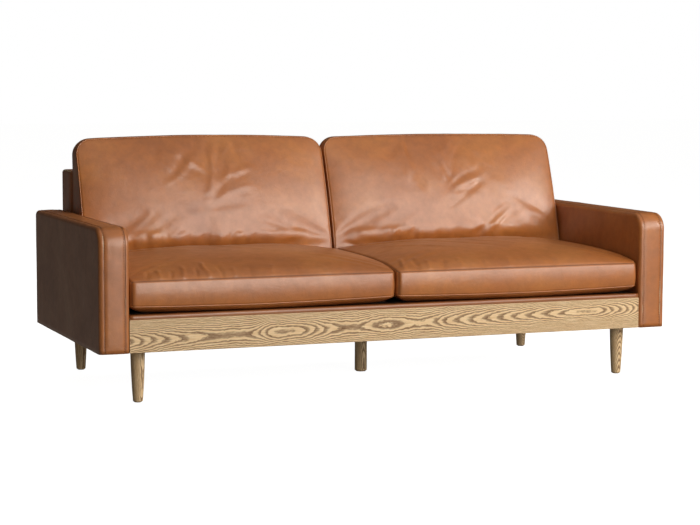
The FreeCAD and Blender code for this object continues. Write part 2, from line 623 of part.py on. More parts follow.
seat_zip_z = DECK_TOP + SEAT_THICKNESS / 2
back_zip_y = (BACK_CUSHION_FRONT + BACK_CUSHION_REAR) / 2
cushion_kinds = {
    "seat": (seat_cushion, zip_pieces((SEAT_REAR, seat_zip_z), "rear")),
    "back": (back_cushion, zip_pieces((back_zip_y, DECK_TOP + BACK_CUSHION_REST), "under")),
}
for kind, (solid_at, (chain, slider)) in cushion_kinds.items():
    cover = solid_at(0).cut(solid_at(CUSHION_LEATHER))
    filling = solid_at(CUSHION_LEATHER + CORE_CLEARANCE)
    filling.translate(Vector(0, 0, -CORE_CLEARANCE))
    for side_name, place in (("right", lambda s: s), ("left", mirrored)):
        stem = side_name + "_" + kind
        keep(stem + "_cushion_cover", place(cover))
        keep(stem + "_cushion_filling", place(filling))
        keep(stem + "_zip", place(chain))
        keep(stem + "_zip_slider", place(slider))


# ---------------------------------------------------------------- output
os.makedirs("parts", exist_ok=True)
for name, shape in PIECES.items():
    shape.exportStep(os.path.join("parts", name + ".step"))
print(len(PIECES), "pieces written")
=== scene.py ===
import bmesh
import bpy
import json
import math
from mathutils import Matrix, Vector, noise


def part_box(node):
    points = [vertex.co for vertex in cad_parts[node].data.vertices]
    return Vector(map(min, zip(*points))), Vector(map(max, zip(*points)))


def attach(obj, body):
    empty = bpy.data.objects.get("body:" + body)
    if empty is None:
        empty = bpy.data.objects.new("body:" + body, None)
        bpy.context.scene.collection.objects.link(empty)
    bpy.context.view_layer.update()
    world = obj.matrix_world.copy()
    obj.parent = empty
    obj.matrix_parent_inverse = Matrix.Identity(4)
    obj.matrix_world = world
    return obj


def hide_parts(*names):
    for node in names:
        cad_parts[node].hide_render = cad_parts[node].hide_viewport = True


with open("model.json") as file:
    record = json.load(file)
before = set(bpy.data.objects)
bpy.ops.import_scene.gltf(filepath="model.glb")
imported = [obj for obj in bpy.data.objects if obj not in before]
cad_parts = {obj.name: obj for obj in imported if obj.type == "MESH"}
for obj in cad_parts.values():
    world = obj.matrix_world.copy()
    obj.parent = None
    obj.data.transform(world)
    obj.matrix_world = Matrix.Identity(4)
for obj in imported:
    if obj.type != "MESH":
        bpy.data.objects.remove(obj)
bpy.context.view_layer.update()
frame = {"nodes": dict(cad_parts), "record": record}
MM = 0.001


# ---------------------------------------------------------------- colours and shader nodes
def linear(hex_value):
    """Linear colour from an sRGB hex value."""
    parts = [int(hex_value[i:i + 2], 16) / 255 for i in (0, 2, 4)]
    return tuple(c / 12.92 if c <= 0.04045 else ((c + 0.055) / 1.055) ** 2.4 for c in parts) + (1.0,)


def add(tree, kind, inputs=None, **settings):
    """Add a shader node, set its properties, and fill or link its inputs."""
    node = tree.nodes.new("ShaderNode" + kind)
    for name, value in settings.items():
        setattr(node, name, value)
    for key, value in (inputs or {}).items():
        if isinstance(value, bpy.types.NodeSocket):
            tree.links.new(value, node.inputs[key])
        else:
            node.inputs[key].default_value = value
    return node


def new_material(name):
    """An empty material: itself, its tree, its shader and its Object coordinates."""
    material = bpy.data.materials.new(name)
    material.use_nodes = True
    tree = material.node_tree
    tree.nodes.clear()
    shader = add(tree, "BsdfPrincipled")
    add(tree, "OutputMaterial", {"Surface": shader.outputs[0]})
    place = add(tree, "TexCoord").outputs["Object"]
    return material, tree, shader, place


def set_stops(node, stops):
    """Give a colour ramp its stops."""
    ramp = node.color_ramp
    while len(ramp.elements) > 1:
        ramp.elements.remove(ramp.elements[-1])
    ramp.elements[0].position, ramp.elements[0].color = stops[0]
    for position, colour in stops[1:]:
        ramp.elements.new(position).color = colour


def grey(value):
    """A neutral colour."""
    return (value, value, value, 1.0)


# ---------------------------------------------------------------- materials
DYE_DRIFT = 170 * MM
WAX_CLOUD = 28 * MM
HIDE_CREASE = 45 * MM
# Pebbled grain, coarser than the real one so that it shows.
PEBBLE = 2.6 * MM


def make_leather():
    """Waxed aniline cowhide: drum-dyed, so the tone drifts over the hide, and half gloss from its wax."""
    material, tree, shader, place = new_material("aniline_leather")
    drift = add(tree, "TexNoise", {"Vector": place, "Scale": 1 / DYE_DRIFT, "Detail": 4.0,
                                   "Roughness": 0.55, "Distortion": 0.6})
    tone = add(tree, "ValToRGB", {"Fac": drift.outputs["Fac"]})
    set_stops(tone, [(0.25, linear("A05C2A")), (0.50, linear("AC662F")), (0.75, linear("B87338"))])
    cloud = add(tree, "TexNoise", {"Vector": place, "Scale": 1 / WAX_CLOUD, "Detail": 5.0,
                                   "Roughness": 0.6})
    cloud_shade = add(tree, "MapRange", {"Value": cloud.outputs["Fac"], "From Min": 0.3,
                                         "From Max": 0.7, "To Min": 0.87, "To Max": 1.09})
    clouded = add(tree, "VectorMath", {0: tone.outputs[0], 1: cloud_shade.outputs[0]},
                  operation="MULTIPLY")
    # Seams are darker: painted shade of the seam grooves, mixed towards dark brown where the seam layer is
    # high.
    seam = add(tree, "Attribute", attribute_name="seam")
    seam_shadow_line = add(tree, "Math", {0: seam.outputs["Fac"], 1: 2.5}, operation="POWER")
    seam_shadow_share = add(tree, "Math", {0: seam_shadow_line.outputs[0], 1: 0.85}, operation="MULTIPLY")
    shaded = add(tree, "Mix", {0: seam_shadow_share.outputs[0], 6: clouded.outputs[0],
                               7: linear("3E1D0A")}, data_type="RGBA")
    pebble = add(tree, "TexVoronoi", {"Vector": place, "Scale": 1 / PEBBLE, "Randomness": 1.0},
                 feature="SMOOTH_F1")
    crease = add(tree, "TexNoise", {"Vector": place, "Scale": 1 / HIDE_CREASE, "Detail": 6.0,
                                    "Roughness": 0.62, "Distortion": 1.4})
    crease_bump = add(tree, "Bump", {"Strength": 0.55, "Distance": 1.6 * MM,
                                     "Height": crease.outputs["Fac"]})
    grain_bump = add(tree, "Bump", {"Strength": 0.40, "Distance": 0.26 * MM,
                                    "Height": pebble.outputs["Distance"],
                                    "Normal": crease_bump.outputs[0]})
    gloss = add(tree, "MapRange", {"Value": drift.outputs["Fac"], "From Min": 0.3,
                                   "From Max": 0.7, "To Min": 0.44, "To Max": 0.37})
    # Where the hide is cloudy the wax has sunk in, and the gloss goes with it.
    broken_gloss = add(tree, "Math", {0: cloud.outputs["Fac"], 1: -0.16, 2: gloss.outputs[0]},
                       operation="MULTIPLY_ADD")
    final_gloss = add(tree, "Math", {0: broken_gloss.outputs[0], 1: 0.08}, operation="ADD")
    tree.links.new(shaded.outputs[2], shader.inputs["Base Color"])
    tree.links.new(final_gloss.outputs[0], shader.inputs["Roughness"])
    tree.links.new(grain_bump.outputs[0], shader.inputs["Normal"])
    shader.inputs["IOR"].default_value = 1.5
    shader.inputs["Specular IOR Level"].default_value = 0.75
    shader.inputs["Coat Weight"].default_value = 0.40
    shader.inputs["Coat Roughness"].default_value = 0.33
    return material


RING_PITCH = 2.9 * MM
RING_WOBBLE = 50 * MM
RING_JAG = 6 * MM
FIBRE = 2.1 * MM


def make_ash(name, centre, length_axis, depth_stops, length, tilt=0.0):
    """Flat-sawn ash under matt lacquer: dark porous earlywood lines between pale bands.

    The year rings are tubes round a pith that lies behind the face. How deep the pith lies along the
    piece is given by depth_stops, and where it rises or sinks the lines run into arches and eyes.
    """
    material, tree, shader, place = new_material(name)
    turn = (0.0, tilt, 0.0) if length_axis == "X" else (0.0, math.radians(90), 0.0)
    local = add(tree, "Mapping", {"Vector": place, "Location": centre, "Rotation": turn},
                vector_type="POINT")
    wobble = add(tree, "TexNoise", {"Vector": local.outputs[0], "Scale": 1 / RING_WOBBLE,
                                    "Detail": 2.0})
    stretch = add(tree, "VectorMath", {0: local.outputs[0], 1: (0.35, 1.0, 1.0)},
                  operation="MULTIPLY")
    jag = add(tree, "TexNoise", {"Vector": stretch.outputs[0], "Scale": 1 / RING_JAG,
                                 "Detail": 3.0, "Roughness": 0.6})
    parts = add(tree, "SeparateXYZ", {"Vector": local.outputs[0]})
    share = add(tree, "MapRange", {"Value": parts.outputs[0], "From Min": -length / 2,
                                   "From Max": length / 2})
    depth = add(tree, "FloatCurve", {"Value": share.outputs[0]})
    curve = depth.mapping.curves[0]
    curve.points[0].location, curve.points[1].location = depth_stops[0], depth_stops[-1]
    for stop in depth_stops[1:-1]:
        curve.points.new(*stop)
    depth.mapping.update()
    pith = add(tree, "Math", {0: depth.outputs[0], 1: 0.1, 2: parts.outputs[1]},
               operation="MULTIPLY_ADD")
    sway = add(tree, "Math", {0: wobble.outputs["Fac"], 1: 0.012, 2: parts.outputs[2]},
               operation="MULTIPLY_ADD")
    reach = add(tree, "CombineXYZ", {"X": pith.outputs[0], "Y": sway.outputs[0]})
    radius = add(tree, "VectorMath", {0: reach.outputs[0]}, operation="LENGTH")
    jagged = add(tree, "Math", {0: jag.outputs["Fac"], 1: 0.0022, 2: radius.outputs["Value"]},
                 operation="MULTIPLY_ADD")
    rings = add(tree, "Math", {0: jagged.outputs[0], 1: RING_PITCH}, operation="DIVIDE")
    phase = add(tree, "Math", {0: rings.outputs[0]}, operation="FRACT")
    line = add(tree, "ValToRGB", {"Fac": phase.outputs[0]})
    set_stops(line, [(0.0, grey(0.8)), (0.08, grey(1.0)), (0.34, grey(0.72)), (0.50, grey(0.10)),
                     (0.90, grey(0.0)), (1.0, grey(0.8))])
    fibre_place = add(tree, "VectorMath", {0: local.outputs[0], 1: (0.03, 1.0, 1.0)},
                      operation="MULTIPLY")
    fibre = add(tree, "TexNoise", {"Vector": fibre_place.outputs[0], "Scale": 1 / FIBRE,
                                   "Detail": 4.0, "Roughness": 0.65})
    pale = add(tree, "ValToRGB", {"Fac": fibre.outputs["Fac"]})
    set_stops(pale, [(0.30, linear("D1AA79")), (0.5, linear("E8C799")), (0.75, linear("F5DDB5"))])
    # Open pores make each earlywood line a row of short dashes.
    dash = add(tree, "MapRange", {"Value": fibre.outputs["Fac"], "From Min": 0.36,
                                  "From Max": 0.60, "To Min": 1.0, "To Max": 0.76})
    depth_of_line = add(tree, "Math", {0: line.outputs[0], 1: dash.outputs[0]},
                        operation="MULTIPLY")
    colour = add(tree, "Mix", {0: depth_of_line.outputs[0], 6: pale.outputs[0],
                               7: linear("6B4420")}, data_type="RGBA")
    pores = add(tree, "Bump", {"Strength": 0.35, "Distance": 0.25 * MM,
                               "Height": depth_of_line.outputs[0]}, invert=True)
    tree.links.new(colour.outputs[2], shader.inputs["Base Color"])
    tree.links.new(pores.outputs[0], shader.inputs["Normal"])
    shader.inputs["Roughness"].default_value = 0.52
    shader.inputs["IOR"].default_value = 1.5
    return material


def make_speckled(name, dark, light, feature_mm, roughness, bump_mm, stretch=(1, 1, 1), metal=False,
                  weave=False):
    """A workshop finish: two tones that mix over a stated feature size, and a bump of stated depth."""
    material, tree, shader, place = new_material(name)
    stretched = add(tree, "VectorMath", {0: place, 1: stretch}, operation="MULTIPLY")
    if weave:
        pattern = add(tree, "TexChecker", {"Vector": stretched.outputs[0],
                                           "Scale": 1 / (feature_mm * MM)}).outputs["Fac"]
    else:
        pattern = add(tree, "TexNoise", {"Vector": stretched.outputs[0], "Detail": 4.0,
                                         "Scale": 1 / (feature_mm * MM)}).outputs["Fac"]
    tone = add(tree, "ValToRGB", {"Fac": pattern})
    set_stops(tone, [(0.25, linear(dark)), (0.75, linear(light))])
    bump = add(tree, "Bump", {"Strength": 0.6, "Distance": bump_mm * MM, "Height": pattern})
    tree.links.new(tone.outputs[0], shader.inputs["Base Color"])
    tree.links.new(bump.outputs[0], shader.inputs["Normal"])
    shader.inputs["Roughness"].default_value = roughness
    shader.inputs["Metallic"].default_value = 1.0 if metal else 0.0
    return material


leather = make_leather()
# Waxed thread, a shade redder than the hide, with the fine twist of its plies.
thread = make_speckled("bonded_nylon_thread", "6B3A1C", "8A5229", 0.8, 0.6, 0.1)
slot_finish = {
    "leather": leather,
    # Rough from the saw, with long streaks of early and late wood.
    "frame_timber": make_speckled("sawn_pine", "B98A52", "DDBA84", 6, 0.75, 0.3, stretch=(0.08, 1, 1)),
    # Pressed brown fibre, smooth on its face.
    "hardboard": make_speckled("hardboard", "4A2F1B", "6B4729", 2, 0.7, 0.1),
    # Open cells on a cut face.
    "foam": make_speckled("cut_foam", "D8CBA4", "EDE3C4", 1.5, 0.95, 0.5),
    # Matted dark fibres.
    "felt": make_speckled("pressed_felt", "1E1C1A", "393531", 1.2, 0.95, 0.4),
    # Dark lining with the small diamonds of its bonding.
    "lining_cloth": make_speckled("spun_bonded_cloth", "1B1613", "2E2621", 1.4, 0.9, 0.15, weave=True),
    # Rubber threads under a coarse black weave.
    "webbing": make_speckled("elastic_webbing", "1B1917", "3A352F", 2.2, 0.85, 0.3, weave=True),
    # Drawn wire under a film of oil.
    "spring_steel": make_speckled("oiled_spring_steel", "3A3A3C", "5C5C5E", 3, 0.38, 0.05, metal=True),
    # Bright zinc with a faint spangle.
    "zinc_steel": make_speckled("zinc_plated_steel", "9A9A96", "C2C1BA", 2, 0.35, 0.05, metal=True),
    # Nylon coils seen as a fine chequer.
    "zip_chain": make_speckled("nylon_coil_zip", "24150C", "3C2615", 1.4, 0.5, 0.4, weave=True),
    # Brass, darkened and rubbed back on its edges.
    "zip_metal": make_speckled("antique_brass", "5E4724", "8C6D3B", 2, 0.35, 0.05, metal=True),
}


# ---------------------------------------------------------------- places from the frame
rail_low, rail_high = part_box("front_show_rail")
arm_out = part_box("right_arm_outer_cover")[1].x
arm_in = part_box("right_arm_inner_cover")[0].x
arm_front, arm_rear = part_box("right_arm_boxing")[0].y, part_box("right_arm_boxing")[1].y
arm_bottom, arm_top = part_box("right_arm_boxing")[0].z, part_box("right_arm_boxing")[1].z
outer_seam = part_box("right_arm_boxing")[1].x
inner_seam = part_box("right_arm_boxing")[0].x

RAIL_LENGTH = rail_high.x - rail_low.x
RAIL_MIDDLE = (rail_low.z + rail_high.z) / 2
# The pith nears the face twice in the left half, which makes two eyes, and sinks in long arches to the right.
RAIL_PITH = [(0.0, 0.42), (0.21, 0.575), (0.278, 0.49), (0.412, 0.605), (0.48, 0.565), (0.553, 0.592),
             (0.607, 0.53), (0.695, 0.443), (0.80, 0.345), (0.90, 0.29), (0.95, 0.35), (1.0, 0.45)]
rail_ash = make_ash("ash_show_rail", (0, -rail_low.y, -RAIL_MIDDLE - 7 * MM), "X", RAIL_PITH, RAIL_LENGTH,
                    math.radians(1.0))


# ---------------------------------------------------------------- mesh helpers
def finished(name, bm, material, body, nodes=()):
    """Make an object of a bmesh, give it its finish, and hang it on its body in place of the CAD nodes."""
    mesh = bpy.data.meshes.new(name)
    bm.to_mesh(mesh)
    bm.free()
    for polygon in mesh.polygons:
        polygon.use_smooth = True
    mesh.materials.append(material)
    piece = bpy.data.objects.new(name, mesh)
    bpy.context.scene.collection.objects.link(piece)
    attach(piece, body)
    if nodes:
        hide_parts(*nodes)
    return piece


def block(low, high):
    """A closed box between two corners."""
    bm = bmesh.new()
    place = Matrix.Translation((low + high) / 2) @ Matrix.Diagonal((high - low).to_4d())
    bmesh.ops.create_cube(bm, size=1, matrix=place)
    return bm


def cut_every(bm, axis, low, high, step):
    """Cut across an axis at even steps so that long faces can bend."""
    count = max(1, round((high - low) / step))
    for i in range(1, count):
        cut_at(bm, axis, low + (high - low) * i / count)


def cut_at(bm, axis, place):
    """Cut across an axis at one place."""
    normal = [0.0, 0.0, 0.0]
    normal[axis] = 1.0
    point = [0.0, 0.0, 0.0]
    point[axis] = place
    geometry = bm.verts[:] + bm.edges[:] + bm.faces[:]
    bmesh.ops.bisect_plane(bm, geom=geometry, dist=1e-5, plane_co=point, plane_no=normal)


def bevel_edges(bm, wanted, offset, segments):
    """Round the edges whose middles are wanted."""
    edges = [edge for edge in bm.edges if wanted((edge.verts[0].co + edge.verts[1].co) / 2)]
    bmesh.ops.bevel(bm, geom=edges, offset=offset, segments=segments, affect="EDGES", profile=0.5,
                    material=-1, clamp_overlap=False)


def near(a, b):
    """Whether two places are the same to a tenth of a millimetre."""
    return abs(a - b) < 1e-4


def ease(t):
    """Smooth step from 0 to 1."""
    t = min(max(t, 0.0), 1.0)
    return t * t * (3 - 2 * t)


def hand_pulled(co, seed):
    """Slight unevenness of leather pulled over foam by hand."""
    shifted = co + Vector((seed, 2.3 * seed, -seed))
    return 0.9 * MM * noise.noise(shifted / 0.14) + 0.35 * MM * noise.noise(shifted / 0.035)


def stitch_row(name, path, body, pitch=8 * MM, length=5.4 * MM, radius=0.62 * MM):
    """A row of stitches along a path of points with their outward directions."""
    bm = bmesh.new()
    travelled, next_stitch = 0.0, pitch / 2
    for (a, out_a), (b, out_b) in zip(path, path[1:]):
        step = (b - a).length
        while next_stitch < travelled + step:
            share = (next_stitch - travelled) / step
            centre = a.lerp(b, share)
            along = (b - a).normalized()
            out = out_a.lerp(out_b, share)
            out = (out - along * out.dot(along)).normalized()
            across = along.cross(out)
            turn = Matrix((along * length / 2, across * radius * 1.25, out * radius)).transposed().to_4x4()
            turn.translation = centre + out * radius * 0.35
            bmesh.ops.create_uvsphere(bm, u_segments=6, v_segments=4, radius=1.0, matrix=turn)
            next_stitch += pitch
        travelled += step
    bmesh.ops.recalc_face_normals(bm, faces=bm.faces)
    return finished(name, bm, thread, body)


# ---------------------------------------------------------------- arms
ARM_FRONT_RADIUS = 53 * MM
ARM_REAR_RADIUS = 20 * MM
ARM_EDGE = 12 * MM
SEAM_DEPTH = 1.9 * MM
SEAM_HALF = 2.2 * MM
# Width of the painted shade along each seam.
SEAM_SHADE = 1.5 * MM
STITCH_ASIDE = 3.6 * MM


def arm_outline(step=6 * MM):
    """Points and outward directions up the front, over the top and down the rear of an arm."""
    points = []
    z = arm_bottom + 4 * MM
    while z < arm_top - ARM_FRONT_RADIUS:
        points.append((Vector((0, arm_front, z)), Vector((0, -1, 0))))
        z += step
    for i in range(13):
        angle = math.radians(180 - 90 * i / 12)
        out = Vector((0, math.cos(angle), math.sin(angle)))
        centre = Vector((0, arm_front + ARM_FRONT_RADIUS, arm_top - ARM_FRONT_RADIUS))
        points.append((centre + out * ARM_FRONT_RADIUS, out))
    y = arm_front + ARM_FRONT_RADIUS + step
    while y < arm_rear - ARM_REAR_RADIUS:
        points.append((Vector((0, y, arm_top)), Vector((0, 0, 1))))
        y += step
    for i in range(7):
        angle = math.radians(90 - 90 * i / 6)
        out = Vector((0, math.cos(angle), math.sin(angle)))
        centre = Vector((0, arm_rear - ARM_REAR_RADIUS, arm_top - ARM_REAR_RADIUS))
        points.append((centre + out * ARM_REAR_RADIUS, out))
    z = arm_top - ARM_REAR_RADIUS - step
    while z > arm_bottom + 4 * MM:
        points.append((Vector((0, arm_rear, z)), Vector((0, 1, 0))))
        z -= step
    return points


def make_arm(side, sign):
    """Box arm: outside panel, inside panel and the boxing strip between them, sewn at two seams."""
    bm = block(Vector((arm_in, arm_front, arm_bottom)), Vector((arm_out, arm_rear, arm_top)))
    bevel_edges(bm, lambda p: near(p.y, arm_front) and near(p.z, arm_top), ARM_FRONT_RADIUS, 14)
    bevel_edges(bm, lambda p: near(p.y, arm_rear) and near(p.z, arm_top), ARM_REAR_RADIUS, 7)
    bevel_edges(bm, lambda p: (near(p.x, arm_in) or near(p.x, arm_out)) and not near(p.z, arm_bottom),
                ARM_EDGE, 5)
    cut_every(bm, 1, arm_front, arm_rear, 13 * MM)
    cut_every(bm, 2, arm_bottom, arm_top, 13 * MM)
    for seam_x in (outer_seam, inner_seam):
        for shift in (-SEAM_HALF, 0.0, SEAM_HALF):
            cut_at(bm, 0, seam_x + shift)
    cut_every(bm, 0, inner_seam + SEAM_HALF, outer_seam - SEAM_HALF, 12 * MM)
    bm.normal_update()
    # The seam layer holds painted shade along both seams of the boxing strip.
    shade = bm.verts.layers.float.new("seam")
    moves = []
    for vert in bm.verts:
        gap = min(abs(vert.co.x - outer_seam), abs(vert.co.x - inner_seam))
        on_strip = vert.co.z > arm_bottom + 1 * MM and (abs(vert.normal.x) < 0.75)
        vert[shade] = math.exp(-(gap / SEAM_SHADE) ** 2) if on_strip else 0.0
        move = hand_pulled(vert.co, 1.7 * sign)
        if gap < 0.3 * MM and on_strip:
            move -= SEAM_DEPTH + 0.5 * MM * noise.noise(vert.co / 0.02)
        elif on_strip and inner_seam < vert.co.x < outer_seam:
            middle = 1 - abs(vert.co.x - (inner_seam + outer_seam) / 2) / ((outer_seam - inner_seam) / 2)
            move += 1.2 * MM * ease(middle)
        if vert.co.x < arm_in + 1 * MM:
            move = min(move, 0.3 * MM) * 0.4
        moves.append((vert, vert.normal * move))
    for vert, move in moves:
        vert.co += move
    for vert in bm.verts:
        vert.co.x *= sign
    if sign < 0:
        bmesh.ops.reverse_faces(bm, faces=bm.faces)
    stem = side + "_arm_"
    piece = finished(stem + "upholstery", bm, leather, "root",
                     [stem + "outer_cover", stem + "boxing", stem + "inner_cover"])
    for label, x in (("outer", outer_seam - STITCH_ASIDE), ("inner", inner_seam + STITCH_ASIDE)):
        path = [(Vector((sign * x, p.y, p.z)) + out * 0.35 * MM, out) for p, out in arm_outline()]
        row = stitch_row(stem + label + "_stitches", path, "root")


for side, sign in (("left", -1), ("right", 1)):
    make_arm(side, sign)


# ---------------------------------------------------------------- leather roll above the rail
# Strength of the painted shadow on the roll.
ROLL_SHADE = 0.68


def make_deck_roll():
    """Leather turned over the padded front edge of the deck, nailed out of sight behind the rail."""
    low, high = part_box("deck_leather_strip")
    bm = block(low, high)
    bevel_edges(bm, lambda p: near(p.y, low.y) and near(p.z, high.z), 6 * MM, 5)
    bevel_edges(bm, lambda p: near(p.y, low.y) and near(p.z, low.z), 2.5 * MM, 3)
    cut_every(bm, 0, low.x, high.x, 12 * MM)
    bm.normal_update()
    # The roll is darkened as a seam is: painted shadow under the cushions' overhanging edge.
    shade = bm.verts.layers.float.new("seam")
    for vert in bm.verts:
        vert[shade] = ROLL_SHADE
    moves = [(vert, vert.normal * 0.5 * min(0.0, hand_pulled(vert.co, 3.3))) for vert in bm.verts]
    for vert, move in moves:
        vert.co += move
    finished("deck_leather_roll", bm, leather, "root", ["deck_leather_strip"])


make_deck_roll()


# ---------------------------------------------------------------- seat deck and dust cover
QUILT_CHANNELS = 18
QUILT_DEPTH = 3.6 * MM
QUILT_VALLEY = 2.5 * MM
COVER_SLACK = 2.2 * MM
STAPLE_PITCH = 45 * MM
STAPLE_INSET = 9 * MM
STAPLE_SIZE = (10 * MM, 1.2 * MM, 0.7 * MM, 1.0)


def make_deck_quilt():
    """Quilted platform cloth over felt: channels that run front to back, sewn down between them."""
    cloth_low, cloth_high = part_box("deck_cloth")
    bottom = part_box("deck_felt")[0].z
    low, high = Vector((cloth_low.x, cloth_low.y, bottom)), cloth_high
    bm = block(low, high)
    pitch = (high.x - low.x) / QUILT_CHANNELS
    seams = [low.x + pitch * i for i in range(QUILT_CHANNELS + 1)]
    cut_every(bm, 0, low.x, high.x, pitch / 8)
    for seam_x in seams[1:-1]:
        for shift in (-QUILT_VALLEY, QUILT_VALLEY):
            cut_at(bm, 0, seam_x + shift)
    cut_every(bm, 1, low.y, high.y, 14 * MM)
    for vert in bm.verts:
        if vert.co.z > high.z - 1e-4:
            gap = min(abs(vert.co.x - seam_x) for seam_x in seams) / (pitch / 2)
            edge = min(vert.co.y - low.y, high.y - vert.co.y) / (12 * MM)
            full = (1 - (1 - min(gap, 1.0)) ** 2.6) * min(1.0, 0.25 + edge)
            pucker = 0.5 * MM * noise.noise(Vector((vert.co.x / 0.03, vert.co.y / 0.012, 0.4)))
            vert.co.z = high.z - QUILT_DEPTH * (1 - full) + min(0.0, pucker)
    piece = finished("deck_quilt", bm, slot_finish["lining_cloth"], "root", ["deck_cloth", "deck_felt"])
    for i, seam_x in enumerate(seams[1:-1]):
        path = [(Vector((seam_x, y, high.z - QUILT_DEPTH)), Vector((0, 0, 1)))
                for y in (low.y + 8 * MM, high.y - 8 * MM)]
        row = stitch_row("deck_quilt_stitches_%02d" % (i + 1), path, "root", pitch=13 * MM, length=9 * MM,
                         radius=0.8 * MM)


def make_dust_cover():
    """Thin spun cloth stapled under the frame, slack between the beams."""
    low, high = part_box("dust_cover")
    bm = block(low, high)
    cut_every(bm, 0, low.x, high.x, 28 * MM)
    cut_every(bm, 1, low.y, high.y, 28 * MM)
    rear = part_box("spring_beam")[0].y
    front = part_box("front_beam")[1].y
    for vert in bm.verts:
        across = (vert.co.y - front) / (rear - front)
        along = abs(vert.co.x) / high.x
        slack = ease(4 * across * (1 - across)) * ease(4 * along * (1 - along)) if 0 < across < 1 else 0.0
        crumple = 0.5 + 0.5 * noise.noise(Vector((vert.co.x / 0.11, vert.co.y / 0.07, 0.2)))
        vert.co.z -= COVER_SLACK * slack * crumple
    piece = finished("dust_cover_sheet", bm, slot_finish["lining_cloth"], "root", ["dust_cover"])
    bm = bmesh.new()
    size = Matrix.Diagonal(STAPLE_SIZE)
    first = (low.x + STAPLE_INSET, low.y + STAPLE_INSET)
    last = (high.x - STAPLE_INSET, high.y - STAPLE_INSET)
    for axis in (0, 1):
        start, run = first[axis], last[axis]
        edges = (first[1 - axis], last[1 - axis])
        count = round((run - start) / STAPLE_PITCH)
        for i in range(1, count):
            step = start + (run - start) * i / count
            for edge in edges:
                spot = (step, edge) if axis == 0 else (edge, step)
                turn = Matrix.Rotation(math.radians(90 * axis), 4, "Z")
                bmesh.ops.create_cube(bm, size=1, matrix=Matrix.Translation((*spot, low.z)) @ turn @ size)
    staples = finished("dust_cover_staples", bm, slot_finish["zinc_steel"], "root")


make_deck_quilt()
make_dust_cover()


# ---------------------------------------------------------------- fixed back
BACK_ROUND = 10 * MM
back_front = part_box("back_front_cover")[0].y
back_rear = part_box("back_rear_cover")[1].y
back_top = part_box("back_boxing")[1].z
back_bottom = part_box("back_front_cover")[0].z
back_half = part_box("back_boxing")[1].x
skirt_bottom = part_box("back_rear_cover")[0].z
skirt_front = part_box("rear_beam")[1].y
back_seams = (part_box("back_boxing")[0].y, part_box("back_boxing")[1].y)


def make_fixed_back():
    """Upholstered back: front cover, boxing, and a rear cover that hangs down over the rear beam."""
    bm = bmesh.new()
    outline = [(back_front, back_bottom), (skirt_front, back_bottom), (skirt_front, skirt_bottom),
               (back_rear, skirt_bottom), (back_rear, back_top), (back_front, back_top)]
    end_face = bm.faces.new([bm.verts.new((-back_half, y, z)) for y, z in outline])
    grown = bmesh.ops.extrude_face_region(bm, geom=[end_face])["geom"]
    moved = [item for item in grown if isinstance(item, bmesh.types.BMVert)]
    bmesh.ops.translate(bm, verts=moved, vec=(2 * back_half, 0, 0))
    bmesh.ops.recalc_face_normals(bm, faces=bm.faces)
    bevel_edges(bm, lambda p: near(p.z, back_top) and (near(p.y, back_front) or near(p.y, back_rear)
                                                       or near(abs(p.x), back_half)), BACK_ROUND, 5)
    cut_every(bm, 0, -back_half, back_half, 16 * MM)
    cut_every(bm, 2, skirt_bottom, back_top, 16 * MM)
    for seam_y in back_seams:
        for shift in (-SEAM_HALF, 0.0, SEAM_HALF):
            cut_at(bm, 1, seam_y + shift)
    for shift in (-SEAM_HALF, SEAM_HALF):
        cut_at(bm, 0, shift)
    cut_every(bm, 1, back_seams[0] + SEAM_HALF, back_seams[1] - SEAM_HALF, 14 * MM)
    bm.normal_update()
    # The seam layer holds painted shade along the boxing seams and the middle seam.
    shade = bm.verts.layers.float.new("seam")
    moves = []
    for vert in bm.verts:
        gap = min(abs(vert.co.y - seam_y) for seam_y in back_seams)
        on_strip = vert.co.z > back_bottom + 1 * MM and abs(vert.normal.y) < 0.75
        on_middle_seam = vert.normal.y > 0.9
        depth = math.exp(-(gap / SEAM_SHADE) ** 2) if on_strip else 0.0
        if on_middle_seam:
            depth = math.exp(-(vert.co.x / SEAM_SHADE) ** 2)
        vert[shade] = depth
        move = 0.6 * hand_pulled(vert.co, 4.1) - SEAM_DEPTH * depth * 0.8
        if vert.normal.y > 0.9 and vert.co.z > back_bottom:
            rise = (vert.co.z - back_bottom) / (back_top - back_bottom)
            move += 2.0 * MM * ease(4 * rise * (1 - rise))
        if vert.co.z < back_bottom + 1 * MM or vert.normal.y < -0.5:
            move = 0.0
        if abs(vert.normal.x) > 0.9:
            move = min(move, 0.0)
        moves.append((vert, vert.normal * move))
    for vert, move in moves:
        vert.co += move
    piece = finished("back_upholstery", bm, leather, "root",
                     ["back_front_cover", "back_boxing", "back_rear_cover"])
    seam_path = []
    z = skirt_bottom + 4 * MM
    while z < back_top - BACK_ROUND:
        seam_path.append((Vector((STITCH_ASIDE, back_rear + 0.4 * MM, z)), Vector((0, 1, 0))))
        z += 20 * MM
    stitch_row("back_middle_stitches_right", seam_path, "root")
    mirrored = [(Vector((-p.x, p.y, p.z)), out) for p, out in seam_path]
    stitch_row("back_middle_stitches_left", mirrored, "root")


make_fixed_back()


# ---------------------------------------------------------------- cushions: shared steps
def unit_block(cells):
    """A closed block from -1 to 1 whose six sides are even grids, welded along their edges."""
    bm = bmesh.new()
    for axis in range(3):
        u, v = (axis + 1) % 3, (axis + 2) % 3
        for end in (-1.0, 1.0):
            place = Matrix.Identity(4)
            for row in range(3):
                place[row][0], place[row][1], place[row][2] = float(row == u), float(row == v), 0.0
            place[axis][2], place[axis][3] = 1.0, end
            bmesh.ops.create_grid(bm, x_segments=cells[u], y_segments=cells[v], size=1, matrix=place)
    bmesh.ops.remove_doubles(bm, verts=bm.verts, dist=1e-4)
    bmesh.ops.recalc_face_normals(bm, faces=bm.faces)
    return bm


